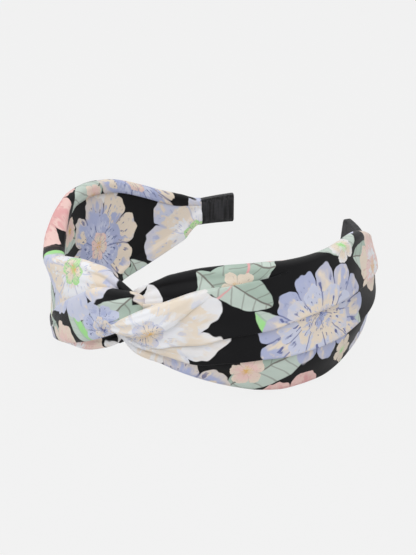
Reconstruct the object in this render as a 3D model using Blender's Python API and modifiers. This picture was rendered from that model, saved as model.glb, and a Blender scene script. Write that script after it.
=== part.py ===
"""Knotted headband: a sprung plastic hoop, padded and lined, dressed in two folded fabric strips.

The headband lies on its lower edge, with +Z up across the band. The knot is at the front, -Y, and
the hoop opens towards +Y. Every piece is placed in hoop coordinates: a distance along the hoop from
the knot (positive on the right arm), a height above the band's middle, and an offset outwards from
the hoop's mid-line. The arms flex about two upright axes, one at each side of the knot.
"""

import math

import bmesh
import bpy
import numpy as np
from mathutils import Vector

# Hoop: a flat plastic strip bent to two half ellipses that meet at the widest point
HOOP_HALF_WIDTH = 0.0663
HOOP_FRONT_DEPTH = 0.0683
HOOP_BACK_DEPTH = 0.0850
HOOP_TIP_ANGLE = math.radians(151.4)
HOOP_THICKNESS = 0.0018
HOOP_CROWN_HEIGHT = 0.0160
HOOP_TIP_HEIGHT = 0.0116

# Knot: where it sits, and how far it and its hinges reach along the hoop
KNOT_OFFSET = 0.0070
KNOT_REACH = 0.0162
KNOT_MIDDLE = 0.0025
HINGE_DISTANCE = 0.0167
FLEX_GAP = 0.0006
PLY_START_GAP = 0.0012

# Layers, from the head outwards
CLEARANCE = 0.0003
LINING_THICKNESS = 0.0008
FOAM_THICKNESS = 0.0014
FOAM_CROWN = 0.0020
CLOTH_THICKNESS = 0.0009
CROWN_LINING_HEIGHT = 0.0220
GLUE_THICKNESS = 0.0006
GLUE_HALF_LENGTH = 0.0090
GLUE_HEIGHT = 0.0120

# Fabric strips: how their edges turn in, and how the upper ply laps the lower one
LIP_DEPTH = 0.0060
EDGE_ROUND = 0.0022
PLY_SEAM_SHARE = 0.56
PLY_LAP_SHARE = 0.14
LIP_MOST_SHARE = 0.22
FOAM_INSET = 0.0042
LINING_INSET = 0.0030

# Ribbon thimbles over the hoop's ends
WRAP_LENGTH = 0.0190
WRAP_THICKNESS = 0.0008

# The lower edge is pressed flat where the headband lies on it
REST_FLAT = 0.0005

# Band outline: share of the arm from the knot to the tip, and height above or below the middle
TOP_RIGHT = (
    (0.00, 0.0140), (0.06, 0.0203), (0.11, 0.0236), (0.17, 0.0260), (0.24, 0.0270), (0.30, 0.0268),
    (0.37, 0.0254), (0.49, 0.0243), (0.61, 0.0241), (0.66, 0.0228), (0.74, 0.0174), (0.81, 0.0115),
    (0.88, 0.0086), (1.00, 0.0080),
)
DROP_RIGHT = (
    (0.00, 0.0087), (0.06, 0.0155), (0.14, 0.0210), (0.22, 0.0262), (0.30, 0.0305), (0.36, 0.0322),
    (0.50, 0.0322), (0.57, 0.0295), (0.66, 0.0256), (0.76, 0.0206), (0.86, 0.0136), (0.92, 0.0092),
    (1.00, 0.0080),
)
TOP_LEFT = (
    (0.00, 0.0141), (0.06, 0.0196), (0.09, 0.0200), (0.14, 0.0196), (0.22, 0.0163), (0.30, 0.0123),
    (0.35, 0.0120), (0.40, 0.0172), (0.45, 0.0244), (0.50, 0.0271), (0.56, 0.0272), (0.64, 0.0248),
    (0.69, 0.0220), (0.75, 0.0173), (0.83, 0.0110), (0.89, 0.0086), (1.00, 0.0080),
)
DROP_LEFT = (
    (0.00, 0.0087), (0.06, 0.0146), (0.14, 0.0203), (0.22, 0.0232), (0.30, 0.0285), (0.38, 0.0322),
    (0.58, 0.0322), (0.64, 0.0292), (0.69, 0.0260), (0.74, 0.0235), (0.80, 0.0196), (0.86, 0.0144),
    (0.92, 0.0092), (1.00, 0.0080),
)

# Faceting: points along an arm and round a loop of the knot
ARM_STATIONS = 24
CROWN_STATIONS = 6
LOOP_STATIONS = 22
LOOP_SIDES = 10
ARC_SAMPLES = 1200


# Hoop coordinates


def arc_table():
    """Angles from the apex and the arc length to each, for half of the hoop and a little past its tip."""
    angles = np.linspace(0.0, math.pi, ARC_SAMPLES)
    depth = np.where(angles < math.pi / 2, HOOP_FRONT_DEPTH, HOOP_BACK_DEPTH)
    x = HOOP_HALF_WIDTH * np.sin(angles)
    y = -depth * np.cos(angles)
    lengths = np.concatenate(([0.0], np.cumsum(np.hypot(np.diff(x), np.diff(y)))))
    return angles, lengths


ANGLES, LENGTHS = arc_table()
HALF_LENGTH = float(np.interp(HOOP_TIP_ANGLE, ANGLES, LENGTHS))
RIGHT_REACH = HALF_LENGTH - KNOT_OFFSET
LEFT_REACH = HALF_LENGTH + KNOT_OFFSET
BAND_DROP = max(height for table in (DROP_LEFT, DROP_RIGHT) for share, height in table)
MIDDLE_HEIGHT = BAND_DROP + CLOTH_THICKNESS - REST_FLAT


def place(along, height, out):
    """World point of hoop coordinates, before the part is centred over its base."""
    arc = along + KNOT_OFFSET
    side = -1.0 if arc < 0 else 1.0
    angle = float(np.interp(abs(arc), LENGTHS, ANGLES))
    depth = HOOP_FRONT_DEPTH if angle < math.pi / 2 else HOOP_BACK_DEPTH
    point = Vector((side * HOOP_HALF_WIDTH * math.sin(angle), -depth * math.cos(angle), 0.0))
    outward = Vector((side * depth * math.sin(angle), -HOOP_HALF_WIDTH * math.cos(angle), 0.0))
    return point + outward.normalized() * out + Vector((0.0, 0.0, height + MIDDLE_HEIGHT))


def share_of_arm(along):
    return min(1.0, abs(along) / (RIGHT_REACH if along > 0 else LEFT_REACH))


def smooth(table, share):
    """Monotone cubic through the table's points, so that flat stretches stay flat."""
    xs, ys = zip(*table)
    steps = [b - a for a, b in zip(xs, xs[1:])]
    slopes = [(b - a) / h for a, b, h in zip(ys, ys[1:], steps)]
    tangents = [slopes[0]]
    for before, after in zip(slopes, slopes[1:]):
        same_way = before * after > 0
        tangents.append(2 * before * after / (before + after) if same_way else 0.0)
    tangents.append(slopes[-1])
    i = min(max(int(np.searchsorted(xs, share)) - 1, 0), len(steps) - 1)
    t, h = (share - xs[i]) / steps[i], steps[i]
    rise = ys[i] * (1 + 2 * t) * (1 - t) ** 2 + ys[i + 1] * t * t * (3 - 2 * t)
    return rise + h * (tangents[i] * t * (1 - t) ** 2 + tangents[i + 1] * t * t * (t - 1))


def top(along):
    return smooth(TOP_RIGHT if along > 0 else TOP_LEFT, share_of_arm(along))


def bottom(along):
    return -smooth(DROP_RIGHT if along > 0 else DROP_LEFT, share_of_arm(along))


def hoop_half_height(along):
    return (HOOP_CROWN_HEIGHT + (HOOP_TIP_HEIGHT - HOOP_CROWN_HEIGHT) * share_of_arm(along)) / 2


def arm_stations(side, start, end):
    """Distances along one arm, in increasing order, between two distances from the knot."""
    return sorted(side * np.linspace(start, end, ARM_STATIONS))


# Offsets of the layers' faces from the hoop's mid-line

HOOP_FACE = HOOP_THICKNESS / 2
LINING_OUT = -(HOOP_FACE + CLEARANCE)
LINING_IN = LINING_OUT - LINING_THICKNESS
LIP_OUT = LINING_IN - CLEARANCE
FOAM_IN = HOOP_FACE + CLEARANCE


def foam_out(along, height):
    """Outer face of the foam: fullest half way between the band's two edges."""
    low, high = bottom(along), top(along)
    across = (2 * height - low - high) / (high - low)
    fullness = max(0.0, 1.0 - across * across)
    return FOAM_IN + FOAM_THICKNESS + FOAM_CROWN * fullness


def cloth_base(along, height):
    return foam_out(along, height) + CLEARANCE


# Meshes


def finish(name, color, roughness):
    material = bpy.data.materials.new(name)
    material.use_nodes = True
    shader = material.node_tree.nodes["Principled BSDF"]
    shader.inputs["Base Color"].default_value = (*color, 1.0)
    shader.inputs["Roughness"].default_value = roughness
    shader.inputs["Metallic"].default_value = 0.0
    material.diffuse_color = (*color, 1.0)
    return material


def fill_row(mesh, row):
    """Closes the end of a tube over one row of its grid."""
    bmesh.ops.contextual_create(mesh, geom=[edge for edge in mesh.edges if set(edge.verts) <= row])


def skin(name, rows, material, thickness=0.0, tube=False, capped=()):
    """A grid stretched over rows of points, thickened on its outer side or closed to a tube."""
    mesh = bmesh.new()
    across = len(rows[0]) - (0 if tube else 1)
    bmesh.ops.create_grid(mesh, x_segments=len(rows) - 1, y_segments=across, size=1.0)
    end_rows = {0: set(), len(rows) - 1: set()}
    for vert in mesh.verts:
        i = round((vert.co.x + 1) / 2 * (len(rows) - 1))
        j = round((vert.co.y + 1) / 2 * across)
        vert.co = rows[i][j % len(rows[i])]
        if i in end_rows:
            end_rows[i].add(vert)
    if tube:
        bmesh.ops.remove_doubles(mesh, verts=mesh.verts, dist=1e-6)
        for i in capped:
            fill_row(mesh, {vert for vert in end_rows[i % len(rows)] if vert.is_valid})
        bmesh.ops.recalc_face_normals(mesh, faces=mesh.faces)
    data = bpy.data.meshes.new(name)
    mesh.to_mesh(data)
    mesh.free()
    data.materials.append(material)
    data.shade_smooth()
    data.set_sharp_from_angle(angle=math.radians(40))
    piece = bpy.data.objects.new(name, data)
    PARTS.objects.link(piece)
    piece.parent = CENTRE
    if thickness:
        wall = piece.modifiers.new("wall", "SOLIDIFY")
        wall.thickness = thickness
        wall.offset = 1.0
        wall.use_even_offset = True
    return piece


def strip(name, stations, section, material, thickness):
    """A sheet whose cross-section, a list of heights and offsets, changes along the hoop."""
    rows = [[place(s, height, out) for height, out in section(s)] for s in stations]
    return skin(name, rows, material, thickness)


# Hoop, lining, foam


def hoop_section(along):
    half = hoop_half_height(along)
    return [(-half, -HOOP_FACE), (half, -HOOP_FACE)]


def lining_section(along):
    """Laid from top to bottom, so that it thickens towards the head."""
    high, low = top(along) - LINING_INSET, bottom(along) + LINING_INSET
    return [(high, LINING_OUT), ((high + low) / 2, LINING_OUT), (low, LINING_OUT)]


def foam_rows(stations):
    """Closed rings round the foam pad: a flat back and a crowned face."""
    rows = []
    for s in stations:
        low, high = bottom(s) + FOAM_INSET, top(s) - FOAM_INSET
        heights = [low + (high - low) * i / 4 for i in range(5)]
        ring = [(low, FOAM_IN), *((h, foam_out(s, h)) for h in heights), (high, FOAM_IN)]
        rows.append([place(s, h, out) for h, out in ring])
    return rows


def crown_core():
    ends = HINGE_DISTANCE - FLEX_GAP / 2
    stations = list(np.linspace(-ends, ends, CROWN_STATIONS))
    strip("hoop_crown", stations, hoop_section, PLASTIC, HOOP_THICKNESS)
    strip("lining_crown", stations, crown_lining_section, LINING, LINING_THICKNESS)
    pad_stations = list(np.linspace(-GLUE_HALF_LENGTH, GLUE_HALF_LENGTH, CROWN_STATIONS))
    strip("knot_glue_pad", pad_stations, glue_section, GLUE, GLUE_THICKNESS)


def crown_lining_section(along):
    half = CROWN_LINING_HEIGHT / 2
    return [(half, LINING_OUT), (-half, LINING_OUT)]


def glue_section(along):
    return [(-GLUE_HEIGHT / 2, HOOP_FACE + CLEARANCE), (GLUE_HEIGHT / 2, HOOP_FACE + CLEARANCE)]


def arm_core(side, label, reach):
    """Hoop arm, lining and foam of one arm, and the ribbon thimble on its tip."""
    start = HINGE_DISTANCE + FLEX_GAP / 2
    cloth_start = HINGE_DISTANCE + PLY_START_GAP
    cloth_end = reach - WRAP_LENGTH
    strip(f"hoop_arm_{label}", arm_stations(side, start, reach), hoop_section, PLASTIC, HOOP_THICKNESS)
    inner = arm_stations(side, cloth_start, cloth_end)
    strip(f"lining_{label}", inner, lining_section, LINING, LINING_THICKNESS)
    skin(f"foam_{label}", foam_rows(inner), FOAM, tube=True, capped=(0, -1))
    tip_wrap(side, label, reach)


def tip_wrap(side, label, reach):
    """Thimble of ribbon glued over the hoop's end, closed past the tip."""
    stations = sorted(side * np.linspace(reach - WRAP_LENGTH + CLEARANCE, reach + CLEARANCE, CROWN_STATIONS))
    rows = []
    for s in stations:
        half, face = hoop_half_height(s) + CLEARANCE, HOOP_FACE + CLEARANCE
        ring = [(-half, -face), (-half, face), (0.0, face), (half, face), (half, -face), (0.0, -face)]
        rows.append([place(s, h, out) for h, out in ring])
    closed_end = -1 if side > 0 else 0
    skin(f"tip_wrap_{label}", rows, RIBBON, WRAP_THICKNESS, tube=True, capped=(closed_end,))


# Outer fabric: two plies to an arm, each turned in over one edge of the band


def lip_depth(along):
    return min(LIP_DEPTH, LIP_MOST_SHARE * (top(along) - bottom(along)))


def ply_edges(along):
    """Heights of the upper ply's free edge and of the lower ply's hidden edge."""
    low, high = bottom(along), top(along)
    seam = high - PLY_SEAM_SHARE * (high - low)
    half_lap = PLY_LAP_SHARE * (high - low) / 2
    return seam - half_lap, seam + half_lap


def upper_ply_section(along):
    """From the free edge on the outside, up over the band's top edge and down inside to the lip."""
    free, hidden = ply_edges(along)
    high = top(along)
    lapped = CLOTH_THICKNESS + CLEARANCE
    step = hidden + 2 * CLOTH_THICKNESS
    shoulder = high - EDGE_ROUND
    middle_out = (cloth_base(along, high) + LIP_OUT) / 2
    outside = [
        (free, cloth_base(along, free) + lapped),
        (hidden + CLEARANCE, cloth_base(along, hidden) + lapped),
        (step, cloth_base(along, step)),
        ((step + shoulder) / 2, cloth_base(along, (step + shoulder) / 2)),
        (shoulder, cloth_base(along, shoulder)),
    ]
    return [*outside, (high, middle_out), (shoulder, LIP_OUT), (high - lip_depth(along), LIP_OUT)]


def lower_ply_section(along):
    """From the lip inside, down round the band's lower edge and up outside to the hidden edge."""
    hidden = ply_edges(along)[1]
    low = bottom(along)
    shoulder = low + EDGE_ROUND
    middle_out = (cloth_base(along, low) + LIP_OUT) / 2
    inside = [(low + lip_depth(along), LIP_OUT), (shoulder, LIP_OUT), (low, middle_out)]
    heights = [shoulder, (shoulder + hidden) / 2, hidden]
    return [*inside, *((h, cloth_base(along, h)) for h in heights)]


def arm_plies(side, label, reach):
    stations = arm_stations(side, HINGE_DISTANCE + PLY_START_GAP, reach - WRAP_LENGTH)
    strip(f"upper_ply_{label}", stations, upper_ply_section, PRINT, CLOTH_THICKNESS)
    lower = strip(f"lower_ply_{label}", stations, lower_ply_section, PRINT, CLOTH_THICKNESS)
    press = lower.modifiers.new("press_flat", "BOOLEAN")
    press.operation = "DIFFERENCE"
    press.object = FLOOR


def floor_cutter():
    """Block whose top is the surface that the headband lies on."""
    span = 4 * (HOOP_FRONT_DEPTH + HOOP_BACK_DEPTH)
    depth = BAND_DROP
    bpy.ops.mesh.primitive_cube_add(size=1.0, location=(0.0, 0.0, -depth / 2))
    block = bpy.context.object
    block.name = "floor_cutter"
    block.data.transform(((span, 0, 0, 0), (0, span, 0, 0), (0, 0, depth, 0), (0, 0, 0, 1)))
    block.hide_render = True
    block.display_type = "WIRE"
    for collection in list(block.users_collection):
        collection.objects.unlink(block)
    CUTTERS.objects.link(block)
    return block


# Knot: each strip is folded round the other one

# A loop's way, as seen on the left loop: along, height from the knot's middle, offset outwards,
# half width, half thickness, and the turn of its outer face from outwards to along the hoop
LOOP_WAY = (
    (-0.0105, 0.0085, 0.0096, 0.0080, 0.0030, 0),
    (-0.0050, 0.0074, 0.0113, 0.0070, 0.0031, 0),
    (0.0006, 0.0064, 0.0110, 0.0052, 0.0028, 15),
    (0.0050, 0.0040, 0.0092, 0.0039, 0.0021, 55),
    (0.0064, 0.0000, 0.0066, 0.0031, 0.0018, 90),
    (0.0046, -0.0042, 0.0046, 0.0030, 0.0016, 130),
    (-0.0010, -0.0080, 0.0040, 0.0038, 0.0016, 170),
    (-0.0070, -0.0092, 0.0039, 0.0050, 0.0016, 180),
    (-0.0115, -0.0096, 0.0041, 0.0064, 0.0018, 180),
)
LOOP_END_OUT = 0.0052
LOOP_END_HALF_THICKNESS = 0.0022
LOOP_END_GAP = 0.0010


def loop_end(side, upper, turn):
    """Where a loop meets its own arm: as tall as the band there, above or below the middle."""
    along = side * KNOT_REACH
    edge = top(along) if upper else bottom(along)
    inner = KNOT_MIDDLE + (LOOP_END_GAP if upper else -LOOP_END_GAP)
    height = (edge + inner) / 2 - KNOT_MIDDLE
    return (along, height, LOOP_END_OUT, abs(edge - inner) / 2, LOOP_END_HALF_THICKNESS, turn)


def loop_way(side):
    """The left loop's way, or the right loop's, which is the same turned half round."""
    flip = -side
    way = [(flip * s, flip * h, *rest) for s, h, *rest in LOOP_WAY]
    return [loop_end(side, side < 0, 0), *way, loop_end(side, side > 0, 180)]


def spline(points, t):
    """Catmull-Rom curve through rows of numbers, with t from 0 to 1."""
    rows = np.array(points, float)
    rows = np.vstack((2 * rows[0] - rows[1], rows, 2 * rows[-1] - rows[-2]))
    spans = len(points) - 1
    i = min(int(t * spans), spans - 1)
    u = t * spans - i
    a, b, c, d = rows[i:i + 4]
    return 0.5 * (2 * b + (c - a) * u + (2 * a - 5 * b + 4 * c - d) * u * u + (3 * b - a - 3 * c + d) * u ** 3)


def knot_loop(side, label):
    """A soft flattened tube: over the other strip, round its fold and back beneath it."""
    way = loop_way(side)
    outward = place(0.0, 0.0, 1.0) - place(0.0, 0.0, 0.0)
    forward = outward.cross(Vector((0.0, 0.0, 1.0))) * side
    samples = [spline(way, i / (LOOP_STATIONS - 1)) for i in range(LOOP_STATIONS)]
    centres = [place(s, h + KNOT_MIDDLE, out) for s, h, out, *_ in samples]
    rows = []
    for i, (s, _, out, half_width, half_thickness, turn) in enumerate(samples):
        tangent = (centres[min(i + 1, len(centres) - 1)] - centres[max(i - 1, 0)]).normalized()
        level = place(s + CLEARANCE, 0.0, out) - place(s - CLEARANCE, 0.0, out)
        level *= math.copysign(1.0, level.dot(tangent))
        ease = min(1.0, max(0.0, abs(s) / KNOT_REACH * 2 - 0.7))
        tangent = tangent.lerp(level.normalized(), ease).normalized()
        face = outward * math.cos(math.radians(turn)) + forward * math.sin(math.radians(turn))
        wide = tangent.cross(face).normalized()
        face = wide.cross(tangent)
        angles = [2 * math.pi * k / LOOP_SIDES for k in range(LOOP_SIDES)]
        rows.append([
            centres[i] + wide * half_width * math.cos(a) + face * half_thickness * math.sin(a)
            for a in angles
        ])
    skin(f"knot_loop_{label}", rows, PRINT, tube=True, capped=(0, -1))


def centre_over_base():
    """Moves the whole part so that its box stands centred on the origin."""
    bpy.context.view_layer.update()
    depsgraph = bpy.context.evaluated_depsgraph_get()
    corners = [
        Vector(corner)
        for piece in PARTS.objects
        for corner in piece.evaluated_get(depsgraph).bound_box
    ]
    middle = [(min(c[k] for c in corners) + max(c[k] for c in corners)) / 2 for k in range(2)]
    CENTRE.location = (-middle[0], -middle[1], 0.0)
    for side, label in ((-1, "left"), (1, "right")):
        hinge = place(side * HINGE_DISTANCE, 0.0, 0.0) + CENTRE.location
        print(f"hinge of the {label} arm at", [round(c, 6) for c in hinge])


for old in list(bpy.data.objects):
    bpy.data.objects.remove(old, do_unlink=True)
PARTS = bpy.data.collections.new("knotted_headband")
CUTTERS = bpy.data.collections.new("cutters")
bpy.context.scene.collection.children.link(PARTS)
bpy.context.scene.collection.children.link(CUTTERS)
CENTRE = bpy.data.objects.new("headband_centre", None)
bpy.context.scene.collection.objects.link(CENTRE)
FLOOR = floor_cutter()

PLASTIC = finish("black_plastic", (0.02, 0.02, 0.02), 0.45)
FOAM = finish("white_foam", (0.75, 0.74, 0.71), 0.95)
LINING = finish("printed_lining", (0.02, 0.02, 0.022), 0.75)
PRINT = finish("printed_satin", (0.70, 0.66, 0.62), 0.55)
RIBBON = finish("black_ribbon", (0.018, 0.018, 0.018), 0.6)
GLUE = finish("clear_glue", (0.85, 0.82, 0.70), 0.35)

crown_core()
for arm_side, arm_label, arm_reach in ((-1, "left", LEFT_REACH), (1, "right", RIGHT_REACH)):
    arm_core(arm_side, arm_label, arm_reach)
    arm_plies(arm_side, arm_label, arm_reach)
    knot_loop(arm_side, arm_label)
centre_over_base()
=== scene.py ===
import math

import bpy
import numpy as np
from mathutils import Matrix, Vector


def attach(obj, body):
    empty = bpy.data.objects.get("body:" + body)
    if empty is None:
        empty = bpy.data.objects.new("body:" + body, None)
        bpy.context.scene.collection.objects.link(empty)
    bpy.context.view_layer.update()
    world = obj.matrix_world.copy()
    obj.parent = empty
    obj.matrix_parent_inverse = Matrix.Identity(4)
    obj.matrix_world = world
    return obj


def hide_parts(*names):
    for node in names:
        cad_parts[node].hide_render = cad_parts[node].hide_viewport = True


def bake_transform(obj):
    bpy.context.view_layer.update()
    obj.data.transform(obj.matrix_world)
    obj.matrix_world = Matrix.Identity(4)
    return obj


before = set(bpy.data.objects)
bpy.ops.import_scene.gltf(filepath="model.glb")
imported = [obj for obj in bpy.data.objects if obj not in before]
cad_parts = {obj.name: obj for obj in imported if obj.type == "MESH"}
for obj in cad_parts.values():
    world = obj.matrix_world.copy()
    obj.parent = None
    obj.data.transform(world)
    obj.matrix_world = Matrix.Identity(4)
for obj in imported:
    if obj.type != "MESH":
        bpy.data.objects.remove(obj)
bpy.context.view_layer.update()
scene = bpy.context.scene
scene.view_settings.view_transform = "Standard"


# Camera, floor and light
# The headband lies on its lower edge on a plain pale table, seen from the front right and a little above.
# Three large soft lamps stand round it as in a small product studio.

HOOP_CENTRE = (0.0, 0.00278, 0.0326)
AIM = Vector(HOOP_CENTRE)
AZIMUTH, ELEVATION, ROLL = (math.radians(angle) for angle in (32.2, 21.35, 0.21))
DISTANCE, SENSOR_SIZE = 0.815, 36.0
# In pixels of the picture: its height, the focal length and how far the lens's axis is off its middle
PICTURE_HEIGHT, FOCAL_LENGTH, SHIFT_ACROSS, SHIFT_UP = 555, 1795, 2.2, -9.6
level = math.cos(ELEVATION)
towards_camera = Vector((math.sin(AZIMUTH) * level, -math.cos(AZIMUTH) * level, math.sin(ELEVATION)))
camera = bpy.data.objects.new("camera", bpy.data.cameras.new("camera"))
camera.location = AIM + towards_camera * DISTANCE
camera.rotation_euler = towards_camera.to_track_quat("Z", "Y").to_euler()
camera.rotation_euler.rotate_axis("Z", ROLL)
camera.data.sensor_width = camera.data.sensor_height = SENSOR_SIZE
camera.data.sensor_fit = "AUTO"
camera.data.lens = SENSOR_SIZE * FOCAL_LENGTH / PICTURE_HEIGHT
camera.data.shift_x = SHIFT_ACROSS / PICTURE_HEIGHT
camera.data.shift_y = SHIFT_UP / PICTURE_HEIGHT
scene.collection.objects.link(camera)
scene.camera = camera


def plug(tree, socket, value):
    """Links an input to another node's socket, or sets it to a plain value."""
    if isinstance(value, bpy.types.NodeSocket):
        tree.links.new(value, socket)
    else:
        socket.default_value = value


def wire(tree, kind, inputs=(), **settings):
    """A shader node with its settings, and its inputs given by place. None leaves one as it is."""
    made = tree.nodes.new(kind)
    for name, value in settings.items():
        setattr(made, name, value)
    for socket, value in zip(made.inputs, inputs):
        if value is not None:
            plug(tree, socket, value)
    return made


def feed(tree, node, **inputs):
    """Inputs of a node given by name, with _ for a space."""
    for name, value in inputs.items():
        plug(tree, node.inputs[name.replace("_", " ")], value)


def calc(tree, operation, a, b=None, c=None):
    return wire(tree, "ShaderNodeMath", (a, b, c), operation=operation).outputs[0]


def ink(red, green, blue):
    """A colour given as it looks on screen, 0 to 255, made linear."""
    def linear(value):
        value /= 255
        return value / 12.92 if value <= 0.04045 else ((value + 0.055) / 1.055) ** 2.4
    return (linear(red), linear(green), linear(blue), 1.0)


def new_material(name):
    material = bpy.data.materials.new(name)
    material.use_nodes = True
    return material, material.node_tree, material.node_tree.nodes["Principled BSDF"]


def seen_by_camera(tree):
    """1 for what the camera sees, straight or by way of a glossy or clear surface, and 0 for light."""
    ray = wire(tree, "ShaderNodeLightPath").outputs
    seen = calc(tree, "MAXIMUM", ray["Is Camera Ray"], ray["Is Glossy Ray"])
    return calc(tree, "MAXIMUM", seen, ray["Is Transmission Ray"])


BACKDROP, FLOOR_GLOW, SKY_LIGHT, FLOOR_SIZE = ink(242, 242, 242), 0.96, 0.52, 12.0
floor_paint, tree, shader = new_material("pale_table")
feed(tree, shader, Base_Color=ink(226, 226, 226), Roughness=0.9)
bright = wire(tree, "ShaderNodeEmission", (BACKDROP, 1.0))
glow = calc(tree, "MULTIPLY", seen_by_camera(tree), FLOOR_GLOW)
blend_floor = wire(tree, "ShaderNodeMixShader", (glow, shader.outputs[0], bright.outputs[0]))
tree.links.new(blend_floor.outputs[0], tree.nodes["Material Output"].inputs["Surface"])
bpy.ops.mesh.primitive_plane_add(size=FLOOR_SIZE)
floor = bpy.context.object
floor.name = "table"
floor.data.materials.append(floor_paint)

world = bpy.data.worlds.new("studio")
scene.world = world
world.use_nodes = True
tree = world.node_tree
soft_sky = tree.nodes["Background"]
feed(tree, soft_sky, Color=(1.0, 1.0, 1.0, 1.0), Strength=SKY_LIGHT)
paper = wire(tree, "ShaderNodeBackground", (BACKDROP, 1.0))
seen = seen_by_camera(tree)
blend_sky = wire(tree, "ShaderNodeMixShader", (seen, soft_sky.outputs[0], paper.outputs[0]))
tree.links.new(blend_sky.outputs[0], tree.nodes["World Output"].inputs["Surface"])

for name, spot, size, power in (
    ("key_softbox", (0.55, -0.75, 0.95), 0.9, 6.6),
    ("fill_softbox", (-0.95, -0.55, 0.65), 0.9, 3.2),
    ("top_softbox", (0.0, 0.25, 1.25), 1.1, 4.6),
):
    lamp = bpy.data.lights.new(name, "AREA")
    lamp.energy = power
    lamp.size = size
    holder = bpy.data.objects.new(name, lamp)
    holder.location = spot
    holder.rotation_euler = (Vector(spot) - AIM).to_track_quat("Z", "Y").to_euler()
    scene.collection.objects.link(holder)


# Hoop and glue
# One sprung strip of black plastic, bent to a U and hidden in the cloth. A film of hot-melt glue holds
# the knot to its crown. Both keep their CAD shapes and get a moulded and a waxy finish.

HOOP_HALF_WIDTH, HOOP_FRONT_DEPTH, HOOP_BACK_DEPTH = 0.0663, 0.0683, 0.0850
HOOP_TIP_ANGLE = math.radians(151.4)
KNOT_OFFSET = 0.0070
HINGE_DISTANCE = 0.0167
arc_angles = np.linspace(0.0, math.pi, 1200)
arc_depths = np.where(arc_angles < math.pi / 2, HOOP_FRONT_DEPTH, HOOP_BACK_DEPTH)
arc_steps = np.hypot(
    np.diff(HOOP_HALF_WIDTH * np.sin(arc_angles)), np.diff(-arc_depths * np.cos(arc_angles)),
)
arc_lengths = np.concatenate(([0.0], np.cumsum(arc_steps)))
HALF_LENGTH = float(np.interp(HOOP_TIP_ANGLE, arc_angles, arc_lengths))
REACH = {"left": HALF_LENGTH + KNOT_OFFSET, "right": HALF_LENGTH - KNOT_OFFSET}
SIDE = {"left": -1.0, "right": 1.0}


def on_hoop(along, height, out):
    """Points from hoop coordinates: distance from the knot, height over the middle, offset outwards."""
    along, height, out = np.broadcast_arrays(*(np.asarray(v, float) for v in (along, height, out)))
    arc = along + KNOT_OFFSET
    side = np.where(arc < 0, -1.0, 1.0)
    angle = np.interp(np.abs(arc), arc_lengths, arc_angles)
    depth = np.where(angle < math.pi / 2, HOOP_FRONT_DEPTH, HOOP_BACK_DEPTH)
    across, back = np.sin(angle), np.cos(angle)
    normal = np.stack((side * depth * across, -HOOP_HALF_WIDTH * back), -1)
    normal /= np.linalg.norm(normal, axis=-1, keepdims=True)
    plan = np.stack((side * HOOP_HALF_WIDTH * across, -depth * back), -1) + normal * out[..., None]
    return np.concatenate((plan, height[..., None]), -1) + np.array(HOOP_CENTRE)


def tint(tree, share, a, b, way="MIX"):
    """A mix of two colours. The node's sockets between the share and the colours are for other kinds."""
    inputs = (share, None, None, None, None, None, a, b)
    return wire(tree, "ShaderNodeMix", inputs, data_type="RGBA", blend_type=way).outputs[2]


def noise(tree, place, scale, detail, roughness=0.5):
    return wire(tree, "ShaderNodeTexNoise", (place, None, scale, detail, roughness)).outputs[0]


def bump(tree, strength, depth, height):
    return wire(tree, "ShaderNodeBump", (strength, depth, None, height)).outputs[0]


def finish_node(node_name, material):
    """Gives its finish to a CAD node that keeps its shape."""
    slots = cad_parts[node_name].data.materials
    slots.clear()
    slots.append(material)


PLASTIC_GRAIN, GLUE_CLOUD = 900.0, 300.0
plastic, tree, shader = new_material("moulded_black_plastic")
where = wire(tree, "ShaderNodeTexCoord").outputs["Object"]
grain = noise(tree, where, PLASTIC_GRAIN, 3.0)
feed(
    tree, shader, Base_Color=tint(tree, grain, ink(22, 22, 23), ink(34, 34, 36)),
    Roughness=calc(tree, "MULTIPLY_ADD", grain, 0.2, 0.35), Normal=bump(tree, 0.15, 0.0002, grain),
)
for node_name in ("hoop_crown", "hoop_arm_left", "hoop_arm_right"):
    finish_node(node_name, plastic)

glue, tree, shader = new_material("waxy_glue")
where = wire(tree, "ShaderNodeTexCoord").outputs["Object"]
cloud = noise(tree, where, GLUE_CLOUD, 2.0)
feed(
    tree, shader, Base_Color=tint(tree, cloud, ink(226, 214, 180), ink(240, 232, 208)),
    Roughness=calc(tree, "MULTIPLY_ADD", cloud, 0.2, 0.3),
)
finish_node("knot_glue_pad", glue)


# Foam pads
# A sheet of white sponge glued along each arm of the hoop, crowned in the middle and thin at its edges.
# It fills out the cloth and is wholly covered by it.

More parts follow.
